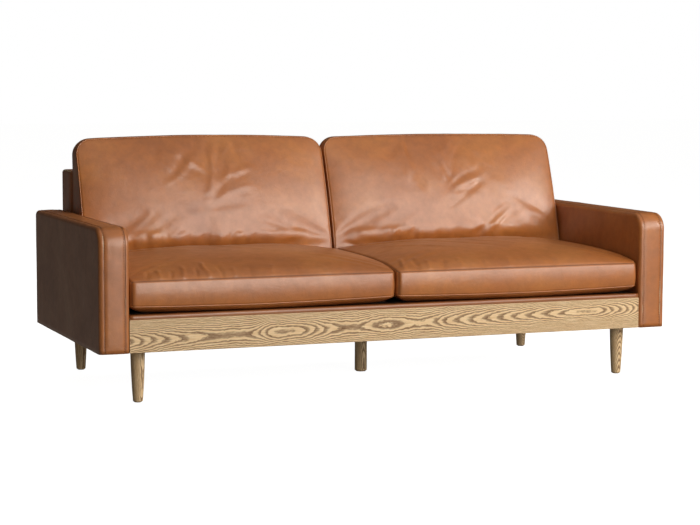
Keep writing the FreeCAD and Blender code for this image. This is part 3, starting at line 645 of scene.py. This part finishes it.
def round_corner(p, q, half_p, half_q, radius):
    """Move a point of a rectangle so that the rectangle's corner becomes a round one."""
    over_p, over_q = abs(p) - (half_p - radius), abs(q) - (half_q - radius)
    if over_p <= 0 or over_q <= 0:
        return p, q
    s, t = over_p / radius, over_q / radius
    new_s, new_t = s * math.sqrt(1 - t * t / 2), t * math.sqrt(1 - s * s / 2)
    return (math.copysign(half_p - radius + new_s * radius, p),
            math.copysign(half_q - radius + new_t * radius, q))


# How much longer the leather may grow where its looseness is 1.
LOOSEST = 0.035
CLOTH_FRAMES = 20


def settle_as_cloth(piece, cap, pressure):
    """Let the cover swell and pucker between its sewn seams, then keep the result in the mesh."""
    scene = bpy.context.scene
    start = [vert.co.copy() for vert in piece.data.vertices]
    cloth = piece.modifiers.new("Cover", "CLOTH")
    settings = cloth.settings
    settings.quality = 6
    settings.mass = 0.4
    settings.tension_stiffness = 30
    settings.compression_stiffness = 30
    settings.shear_stiffness = 15
    settings.bending_stiffness = 1.2
    settings.tension_damping = 15
    settings.compression_damping = 15
    settings.bending_damping = 1
    settings.use_pressure = True
    settings.uniform_pressure_force = pressure
    settings.shrink_min = 0.0
    settings.shrink_max = -LOOSEST
    settings.vertex_group_shrink = "loose"
    settings.vertex_group_mass = "sewn"
    settings.pin_stiffness = 40
    settings.effector_weights.gravity = 0
    cloth.collision_settings.use_collision = False
    cloth.point_cache.frame_start, cloth.point_cache.frame_end = 1, CLOTH_FRAMES
    for step in range(1, CLOTH_FRAMES + 1):
        scene.frame_set(step)
    depsgraph = bpy.context.evaluated_depsgraph_get()
    swollen = [vert.co.copy() for vert in piece.evaluated_get(depsgraph).data.vertices]
    piece.modifiers.remove(cloth)
    scene.frame_set(1)
    for vert, before, after in zip(piece.data.vertices, start, swollen):
        move = after - before
        if move.length > cap:
            move *= cap / move.length
        vert.co = before + move


def subdivided(piece):
    """Replace the mesh by its once-subdivided one."""
    modifier = piece.modifiers.new("Smooth", "SUBSURF")
    modifier.levels = modifier.render_levels = 1
    depsgraph = bpy.context.evaluated_depsgraph_get()
    mesh = bpy.data.meshes.new_from_object(piece.evaluated_get(depsgraph))
    piece.modifiers.remove(modifier)
    old, piece.data = piece.data, mesh
    bpy.data.meshes.remove(old)
    for polygon in mesh.polygons:
        polygon.use_smooth = True


def crease_height(s, h, creases):
    """Height of all creases at a place on a panel.

    Each crease is (start, end, height, width) with the last two in millimetres: a soft ridge, or a
    valley where the height is below nought.
    """
    drift = Vector((s, h, 0.3)) / 0.085
    s += 13 * MM * noise.noise(drift) + 3 * MM * noise.noise(drift * 3)
    h += 13 * MM * noise.noise(drift + Vector((5.2, 1.7, 0.0)))
    total = 0.0
    for (s0, h0), (s1, h1), height, width in creases:
        ds, dh = s1 - s0, h1 - h0
        length = math.hypot(ds, dh)
        along = ((s - s0) * ds + (h - h0) * dh) / (length * length)
        if -0.4 < along < 1.4:
            across = ((s - s0) * dh - (h - h0) * ds) / (length * (width * MM))
            ends = ease((along + 0.4) / 0.6) * ease((1.4 - along) / 0.6)
            total += height * MM * ends * math.exp(-across * across)
    return total


def make_welt(name, body, path, radius):
    """Self piping: a closed cord of leather laid along a seam."""
    bm = bmesh.new()
    rings = []
    for before, here, after in zip(path[-1:] + path[:-1], path, path[1:] + path[:1]):
        turn = (after - before).to_track_quat("Z", "Y").to_matrix().to_4x4()
        turn.translation = here
        ring = bmesh.ops.create_circle(bm, segments=8, radius=radius, matrix=turn)["verts"]
        rings.append(list({edge for vert in ring for edge in vert.link_edges}))
    for ring, following in zip(rings, rings[1:] + rings[:1]):
        bmesh.ops.bridge_loops(bm, edges=ring + following)
    bmesh.ops.recalc_face_normals(bm, faces=bm.faces)
    finished(name, bm, leather, body)


WELT_RADIUS = 1.8 * MM
WELT_PROUD = 1.4 * MM
GROOVE = 2.0 * MM


def sewn_cushion(name, body, nodes, cells, shape, cap, pressure, detail, welt_side):
    """Build a cushion: shaped block, cloth pass between pinned seams, subdivision, grooves and a welt.

    shape turns a unit place into (position, seam share, pinned share, looseness).
    detail gives the extra outward move at a unit place and position.
    """
    bm = unit_block(cells)
    unit = [bm.verts.layers.float.new(label) for label in ("unit_a", "unit_b", "unit_c")]
    sewn_layer = bm.verts.layers.float.new("sewn_line")
    pins, slack = [], []
    for vert in bm.verts:
        for layer, value in zip(unit, vert.co):
            vert[layer] = value
        position, on_seam, pinned, loose = shape(*vert.co)
        vert[sewn_layer] = on_seam
        pins.append(pinned)
        slack.append(loose)
        vert.co = position
    piece = finished(name, bm, leather, body, nodes)
    for label, weights in (("sewn", pins), ("loose", slack)):
        group = piece.vertex_groups.new(name=label)
        for index, weight in enumerate(weights):
            if weight > 0:
                group.add([index], weight, "REPLACE")
    settle_as_cloth(piece, cap, pressure)
    piece.vertex_groups.clear()
    subdivided(piece)
    mesh = piece.data
    # The seam layer holds painted shade along the sewn seams, over their grooves.
    mesh.attributes.new("seam", "FLOAT", "POINT")
    labels = {label: [item.value for item in mesh.attributes[label].data]
              for label in ("unit_a", "unit_b", "unit_c", "sewn_line")}
    shade = mesh.attributes["seam"]
    normals = [vert.normal.copy() for vert in mesh.vertices]
    for vert, normal in zip(mesh.vertices, normals):
        i = vert.index
        place = [labels[label][i] for label in ("unit_a", "unit_b", "unit_c")]
        on_seam = ease((labels["sewn_line"][i] - 0.5) * 2)
        vert.co += normal * (detail(*place, vert.co) - GROOVE * on_seam)
        shade.data[i].value = on_seam
    other = "unit_c" if welt_side == "unit_b" else "unit_b"
    loop = [i for i in range(len(mesh.vertices)) if labels[welt_side][i] < -0.999
            and max(abs(labels["unit_a"][i]), abs(labels[other][i])) > 0.999]
    loop.sort(key=lambda i: math.atan2(labels[other][i], labels["unit_a"][i]))
    path = [mesh.vertices[i].co + normals[i] * WELT_PROUD for i in loop[::2]]
    make_welt(name + "_welt", body, path, WELT_RADIUS)
    for label in labels:
        mesh.attributes.remove(mesh.attributes[label])


# ---------------------------------------------------------------- seat cushions
seat_creases = {
    "left": [
        ((-0.365, -0.262), (-0.355, -0.22), -2.4, 6), ((-0.33, -0.262), (-0.322, -0.21), 2.4, 7),
        ((-0.29, -0.262), (-0.285, -0.225), -2.6, 6), ((-0.252, -0.262), (-0.248, -0.20), 2.8, 7),
        ((-0.215, -0.262), (-0.21, -0.225), -2.6, 6), ((-0.178, -0.262), (-0.182, -0.19), 3.2, 7),
        ((-0.14, -0.262), (-0.135, -0.215), -2.6, 7), ((-0.095, -0.262), (-0.09, -0.22), 2.0, 8),
        ((-0.04, -0.262), (-0.035, -0.225), -1.8, 8), ((0.02, -0.262), (0.03, -0.22), 1.6, 9),
        ((0.10, -0.262), (0.105, -0.23), -1.4, 9), ((0.20, -0.262), (0.20, -0.23), 1.3, 10),
        ((-0.15, 0.20), (0.05, 0.02), 2.0, 16), ((-0.05, 0.21), (0.13, 0.08), -1.9, 15),
        ((-0.25, 0.19), (-0.12, 0.06), -1.8, 14), ((0.10, 0.20), (0.25, 0.12), 1.6, 14),
    ],
    "right": [
        ((-0.385, -0.255), (-0.375, -0.18), 3.2, 7), ((-0.35, -0.262), (-0.335, -0.19), -2.8, 8),
        ((-0.31, -0.262), (-0.295, -0.21), 2.4, 8), ((-0.26, -0.262), (-0.25, -0.215), -2.2, 8),
        ((-0.20, -0.262), (-0.195, -0.22), 1.8, 9), ((-0.13, -0.262), (-0.12, -0.225), -1.6, 9),
        ((-0.03, -0.262), (-0.02, -0.225), 1.4, 9), ((0.12, -0.262), (0.125, -0.23), -1.3, 9),
        ((-0.22, 0.13), (-0.02, -0.06), -2.3, 15), ((-0.16, 0.17), (0.05, 0.00), 2.3, 15),
        ((-0.06, 0.20), (0.15, 0.05), -2.3, 15), ((0.05, 0.21), (0.26, 0.09), 2.1, 14),
        ((-0.32, 0.08), (-0.18, -0.05), 1.8, 17), ((0.16, 0.21), (0.32, 0.14), -1.7, 13),
    ],
}


def make_seat_cushion(side, sign):
    """Loose box cushion: crowned top, bowed boxing, underside that turns up towards the front."""
    low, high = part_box(side + "_seat_cushion_cover")
    half_x, half_y = (high.x - low.x) / 2 - 2 * MM, (high.y - low.y) / 2 - 2 * MM
    centre_x, centre_y = (high.x + low.x) / 2, (high.y + low.y) / 2 + 2 * MM
    bottom, top_seam, crown = low.z, 0.366, 26 * MM
    low_seam_front, low_seam_rear = 0.291, 0.280
    corner = 17 * MM

    def shape(a, b, c):
        p, q = round_corner(a * half_x, b * half_y, half_x, half_y, corner)
        seam_high = top_seam + 30 * MM * (1 - math.exp(-(b + 1) / 0.45))
        seam_low = low_seam_front + (low_seam_rear - low_seam_front) * (b + 1) / 2
        seam_low -= 6 * MM * (1 - abs(a) ** 2)
        on_seam = 0.0
        pinned = 0.0
        if c >= 0.999:
            rise = (1 - abs(a) ** 4.2) ** 0.8 * (1 - abs(b) ** (4 if b < 0 else 9)) ** 0.6
            z = seam_high + crown * rise
        elif c <= -0.999:
            reach = 34 * MM + 36 * MM * a * a
            edge = min(1.0, (1 - abs(a)) * half_x / reach, (1 - abs(b)) * half_y / reach)
            z = seam_low - (seam_low - bottom) * edge * (2 - edge)
            pinned = 1.0
        else:
            z = seam_low + (seam_high - seam_low) * (c + 1) / 2
            bow = 5 * MM * (1 - c * c)
            if b < -0.999:
                q -= bow
            elif b > 0.999:
                pinned = 1.0
            if abs(a) > 0.999:
                p += math.copysign(1.5 * MM * (1 - c * c), a)
        if (abs(a) > 0.999) + (abs(b) > 0.999) + (abs(c) > 0.999) >= 2:
            vertical = abs(a) > 0.999 and abs(b) > 0.999 and abs(c) < 0.999
            on_seam = 1.0 if not vertical or b < 0 else 0.0
            pinned = 1.0 if not vertical else 0.0
        loose = 0.15
        if c > 0.99:
            loose = 0.25 + 0.55 * math.exp(-((b + 0.92) / 0.14) ** 2)
        return Vector((centre_x + p, centre_y + q, z)), on_seam, pinned, loose

    def detail(a, b, c, co):
        move = 0.7 * hand_pulled(co, 7.3 * sign)
        if c > 0.98:
            move += crease_height(a * half_x, b * half_y, seat_creases[side]) * min(1.0, (1 - abs(b)) / 0.03)
        if max(abs(a), abs(b)) > 0.985 and abs(a) > 0.97:
            move = min(move, 0.4 * MM)
        return move

    name = side + "_seat_cushion"
    sewn_cushion(name, name, [name + "_cover", name + "_filling"], (104, 66, 12), shape, 9 * MM, 1.2, detail,
                 "unit_c")


# ---------------------------------------------------------------- back cushions
back_creases = {
    "left": [
        ((0.060, 0.750), (0.037, 0.625), -4.0, 15), ((0.030, 0.716), (-0.004, 0.572), 4.0, 12),
        ((-0.067, 0.704), (-0.116, 0.643), -3.4, 15), ((-0.040, 0.695), (-0.128, 0.616), 3.0, 11),
        ((0.100, 0.757), (0.120, 0.690), -2.8, 10), ((0.143, 0.659), (0.073, 0.631), 2.6, 9),
        ((0.146, 0.643), (0.030, 0.588), -3.2, 12), ((0.145, 0.602), (0.024, 0.566), 2.6, 9),
        ((-0.067, 0.534), (0.140, 0.556), -3.6, 21), ((-0.152, 0.747), (-0.176, 0.700), -2.2, 13),
        ((-0.105, 0.735), (-0.098, 0.700), 2.0, 12), ((-0.015, 0.765), (-0.015, 0.735), -2.2, 9),
        ((-0.28, 0.410), (-0.26, 0.455), -3.2, 12), ((-0.22, 0.410), (-0.205, 0.470), 2.8, 12),
        ((-0.17, 0.410), (-0.16, 0.450), -2.6, 11), ((-0.10, 0.410), (-0.10, 0.460), 2.4, 13),
        ((-0.04, 0.410), (-0.03, 0.450), -2.2, 12), ((0.06, 0.410), (0.08, 0.455), 2.2, 13),
        ((0.13, 0.410), (0.15, 0.450), -2.4, 12), ((0.25, 0.420), (0.35, 0.450), -3.6, 15),
    ],
    "right": [
        ((-0.119, 0.770), (-0.126, 0.697), -4.2, 8), ((-0.140, 0.722), (-0.134, 0.620), 3.2, 12),
        ((-0.110, 0.715), (-0.081, 0.585), -3.6, 14), ((-0.024, 0.693), (0.022, 0.596), -2.4, 6),
        ((0.030, 0.598), (0.111, 0.633), -2.6, 9), ((0.005, 0.570), (0.115, 0.612), 2.6, 11),
        ((0.003, 0.525), (0.135, 0.600), -3.0, 10), ((-0.030, 0.492), (0.105, 0.558), 2.2, 14),
        ((0.075, 0.425), (0.225, 0.525), -4.4, 13), ((0.115, 0.415), (0.215, 0.490), 3.2, 11),
        ((0.165, 0.435), (0.243, 0.497), -3.6, 13), ((0.250, 0.470), (0.330, 0.500), 2.4, 18),
        ((-0.375, 0.412), (-0.335, 0.400), -4.0, 8), ((-0.35, 0.420), (-0.32, 0.455), 3.0, 10),
        ((-0.30, 0.410), (-0.27, 0.450), -3.0, 11), ((-0.24, 0.410), (-0.20, 0.460), 2.8, 12),
        ((-0.17, 0.410), (-0.13, 0.450), -2.4, 12), ((-0.08, 0.410), (-0.05, 0.455), 2.2, 13),
        ((0.100, 0.757), (0.110, 0.700), -1.8, 11), ((0.000, 0.757), (-0.010, 0.705), 1.6, 13),
    ],
}

# Folds that spread like a fan from the place where a back pulls the leather tight:
# its middle, the direction and half width of the fan in radians, its reach and its height.
back_fans = {
    "left": (Vector((0.025, 0.600)), math.radians(95), 1.1, 0.17, 5.5 * MM),
    "right": (Vector((-0.030, 0.560)), math.radians(50), 0.9, 0.24, 4.5 * MM),
}


def fan_folds(s, h, side):
    """Height of the fan of folds at a place on a back cushion's front."""
    middle, direction, half_width, reach, height = back_fans[side]
    away = Vector((s, h)) - middle
    distance = away.length
    if distance < 0.02 or distance > 1.6 * reach:
        return 0.0
    turned = math.atan2(away.y, away.x) - direction
    turned = math.atan2(math.sin(turned), math.cos(turned))
    window = ease((half_width * 1.3 - abs(turned)) / (half_width * 0.6))
    window *= ease((distance - 0.02) / 0.06) * ease((1.6 * reach - distance) / (0.9 * reach))
    bend = turned + 0.5 * noise.noise(Vector((s / 0.12, h / 0.12, 3.1)))
    return height * window * noise.noise(Vector((bend / 0.17, distance / 0.16, 7.7)))


def make_back_cushion(side, sign):
    """Loose back cushion: stands behind the seat cushion and leans back against the fixed back."""
    low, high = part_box(side + "_back_cushion_cover")
    half_x = (high.x - low.x) / 2 - 2.5 * MM
    centre_x = (high.x + low.x) / 2
    bottom, top = low.z, high.z - 11 * MM
    rear = high.y - 1.5 * MM
    lean_low, lean_high = 0.396, 0.739
    foot_front, lean_run = 0.137, 0.113
    # The front curves under where it meets the seat, over this height.
    tuck_low, tuck_run, meeting = 0.389, 0.066, 0.400
    half_z = (top - bottom) / 2
    middle_z = (top + bottom) / 2
    crown = 34 * MM
    top_crown = 11 * MM if side == "left" else 7 * MM

    def front_at(z):
        t = (z - lean_low) / (lean_high - lean_low)
        if t < 0:
            return foot_front - 6 * MM * ease(-t / 0.2)
        return foot_front + lean_run * (0.72 * t + 0.28 * t * t)

    def shape(a, b, c):
        p, q = round_corner(a * half_x, c * half_z, half_x, half_z, 50 * MM if c > 0 else 14 * MM)
        z = middle_z + q
        front = front_at(z)
        z += top_crown * (1 - a * a) * ((c + 1) / 2) ** 4
        y = front + (rear - front) * (b + 1) / 2
        on_seam, pinned = 0.0, 0.0
        if b <= -0.999:
            rise = (1 - abs(a) ** 3.6) ** 0.8 * (1 - abs(c) ** 3.2) ** 0.8
            place = Vector((a * half_x + 2.0 * sign, 0.0, 0.6))
            gather = 13 * MM * noise.noise(place / 0.05) + 8 * MM * noise.noise(place / 0.021)
            climb = min(max((z - tuck_low - gather) / tuck_run, 0.0), 1.0)
            tuck = 0.6 * climb + 0.4 * ease(climb)
            y -= crown * rise * (0.06 + 0.94 * tuck)
            y += 10 * MM * rise * math.exp(-((z - meeting) / 0.028) ** 2)
            pinned = 1.0 if z < 0.36 else 0.0
        elif b >= 0.999:
            pinned = 1.0
        else:
            bow = 1 - b * b
            if c > 0.999:
                z += 1.5 * MM * bow
            elif c < -0.999:
                pinned = 1.0
            if abs(a) > 0.999:
                p += math.copysign(2 * MM * bow, a)
        faces = (abs(a) > 0.999) + (abs(b) > 0.999) + (abs(c) > 0.999)
        if faces >= 2 and abs(b) > 0.999:
            on_seam = pinned = 1.0
        loose = 0.1
        if b < -0.99:
            edge = min(1 - abs(a), 1 - abs(c), 0.06) / 0.06
            folds = crease_height(a * half_x, z, back_creases[side]) + fan_folds(a * half_x, z, side)
            y -= folds * edge
            loose = 0.15 + 0.75 * math.exp(-((z - 0.42) / 0.035) ** 2)
            loose += 0.45 * math.exp(-((a - 0.03) / 0.28) ** 2 - ((z - 0.67) / 0.08) ** 2)
        return Vector((centre_x + p, y, z)), on_seam, pinned, min(loose, 1.0)

    def detail(a, b, c, co):
        move = 0.8 * hand_pulled(co, 11.9 * sign)
        if abs(a) > 0.97 or b > 0.98:
            move = min(move, 0.4 * MM)
        return move

    name = side + "_back_cushion"
    sewn_cushion(name, name, [name + "_cover", name + "_filling"], (104, 14, 62), shape, 10 * MM, 1.0, detail,
                 "unit_b")


for side, sign in (("left", -1), ("right", 1)):
    make_seat_cushion(side, sign)
    make_back_cushion(side, sign)


# ---------------------------------------------------------------- finishes of the carried-over pieces
leg_pith = {
    "leg_front_left": (42 * MM, [(0.0, 0.600), (0.5, 0.605), (1.0, 0.610)]),
    "leg_front_right": (3 * MM, [(0.0, 0.40), (0.5, 0.55), (1.0, 0.70)]),
    "leg_rear_left": (22 * MM, [(0.0, 0.55), (0.5, 0.60), (1.0, 0.50)]),
    "leg_rear_right": (14 * MM, [(0.0, 0.70), (0.5, 0.55), (1.0, 0.50)]),
    "leg_centre": (2 * MM, [(0.0, 0.30), (0.5, 0.34), (1.0, 0.46)]),
}


def leg_ash(node):
    """Ash along a leg. Each leg has its own pith, so that each shows its own grain."""
    low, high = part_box(node)
    x, y, z = (low.x + high.x) / 2, (low.y + high.y) / 2, (low.z + high.z) / 2
    aside, stops = leg_pith[node]
    return make_ash("ash_" + node, (-z, -y + 20 * MM, x + aside), "Z", stops, high.z - low.z)


for entry in frame["record"]["subparts"]:
    node_name, slot_name = entry["node"], entry["material_slot"]
    node = frame["nodes"][node_name]
    if slot_name == "ash":
        finish = rail_ash if node_name == "front_show_rail" else leg_ash(node_name)
    else:
        finish = slot_finish[slot_name]
    node.material_slots[0].material = finish


# ---------------------------------------------------------------- studio
def area_light(name, place, aim, size_x, size_y, watts, colour):
    """A rectangular light at a place, aimed at a point of the sofa."""
    data = bpy.data.lights.new(name, "AREA")
    data.shape = "RECTANGLE"
    data.size, data.size_y = size_x, size_y
    data.energy = watts
    data.color = colour
    lamp = bpy.data.objects.new(name, data)
    lamp.location = place
    lamp.rotation_euler = (Vector(aim) - Vector(place)).to_track_quat("-Z", "Y").to_euler()
    bpy.context.scene.collection.objects.link(lamp)
    return lamp


WINDOW_COLOUR = (1.0, 0.972, 0.915)
SOFTBOX_COLOUR = (1.0, 0.98, 0.95)
area_light("front_window", (1.55, -4.6, 2.35), (0.0, 0.0, 0.6), 3.8, 3.4, 180, WINDOW_COLOUR)
area_light("low_window", (0.45, -4.6, 0.55), (-0.2, -0.4, 0.35), 2.0, 0.9, 24, WINDOW_COLOUR)
area_light("side_window", (3.7, -2.7, 1.9), (0.3, 0.1, 0.55), 1.0, 1.8, 72, WINDOW_COLOUR)
area_light("top_softbox", (0.3, -0.6, 3.2), (0.1, 0.0, 0.4), 5.0, 3.4, 19, SOFTBOX_COLOUR)
# The rear light only lifts the back panel out of the dark, so it leaves no shine of its own.
rear_light = area_light("rear_softbox", (0.6, 3.6, 3.6), (0.2, 0.4, 0.3), 3.2, 2.2, 60, SOFTBOX_COLOUR)
rear_light.visible_glossy = False

world = bpy.data.worlds.new("studio_air")
world.use_nodes = True
world.node_tree.nodes.clear()
rays = add(world.node_tree, "LightPath")
towards = add(world.node_tree, "TexCoord")
height = add(world.node_tree, "SeparateXYZ", {"Vector": towards.outputs["Generated"]})
# Studio air: dim all round, a little brighter from the pale floor below.
strength = add(world.node_tree, "MapRange", {"Value": height.outputs[2], "From Min": -0.3,
                                             "From Max": 0.1, "To Min": 0.17, "To Max": 0.055})
fill = add(world.node_tree, "Background", {"Color": linear("F4EEE4"), "Strength": strength.outputs[0]})
seen = add(world.node_tree, "Background", {"Color": (1.0, 1.0, 1.0, 1.0), "Strength": 1.0})
either = add(world.node_tree, "MixShader", {0: rays.outputs["Is Camera Ray"], 1: fill.outputs[0],
                                            2: seen.outputs[0]})
add(world.node_tree, "OutputWorld", {"Surface": either.outputs[0]})
bpy.context.scene.world = world

floor_bm = bmesh.new()
bmesh.ops.create_grid(floor_bm, x_segments=1, y_segments=1, size=30)
floor_mesh = bpy.data.meshes.new("floor")
floor_bm.to_mesh(floor_mesh)
floor_bm.free()
floor_material, _, floor_shader, _ = new_material("pale_floor")
floor_shader.inputs["Base Color"].default_value = grey(0.45)
floor_shader.inputs["Roughness"].default_value = 0.9
floor_shader.inputs["Emission Color"].default_value = grey(1.0)
floor_shader.inputs["Emission Strength"].default_value = 0.97
floor_mesh.materials.append(floor_material)
floor = bpy.data.objects.new("floor", floor_mesh)
floor.visible_diffuse = False
floor.visible_glossy = False
bpy.context.scene.collection.objects.link(floor)

bpy.context.scene.view_settings.view_transform = "Standard"


# ---------------------------------------------------------------- camera
CAMERA_PLACE = Vector((-2.3727, -5.9620, 0.9787))
CAMERA_YAW = math.radians(21.742)
CAMERA_DIP = math.radians(5.5206)
CAMERA_ROLL = math.radians(0.177)
forward = Vector((math.sin(CAMERA_YAW) * math.cos(CAMERA_DIP), math.cos(CAMERA_YAW) * math.cos(CAMERA_DIP),
                  -math.sin(CAMERA_DIP)))
level_right = Vector((math.cos(CAMERA_YAW), -math.sin(CAMERA_YAW), 0.0))
level_up = level_right.cross(forward)
right = math.cos(CAMERA_ROLL) * level_right + math.sin(CAMERA_ROLL) * level_up
up = math.cos(CAMERA_ROLL) * level_up - math.sin(CAMERA_ROLL) * level_right
camera_data = bpy.data.cameras.new("camera")
camera_data.sensor_width = 36.0
camera_data.lens = 101.75
camera = bpy.data.objects.new("camera", camera_data)
camera.matrix_world = Matrix.Translation(CAMERA_PLACE) @ Matrix((right, up, -forward)).transposed().to_4x4()
bpy.context.scene.collection.objects.link(camera)
bpy.context.scene.camera = camera
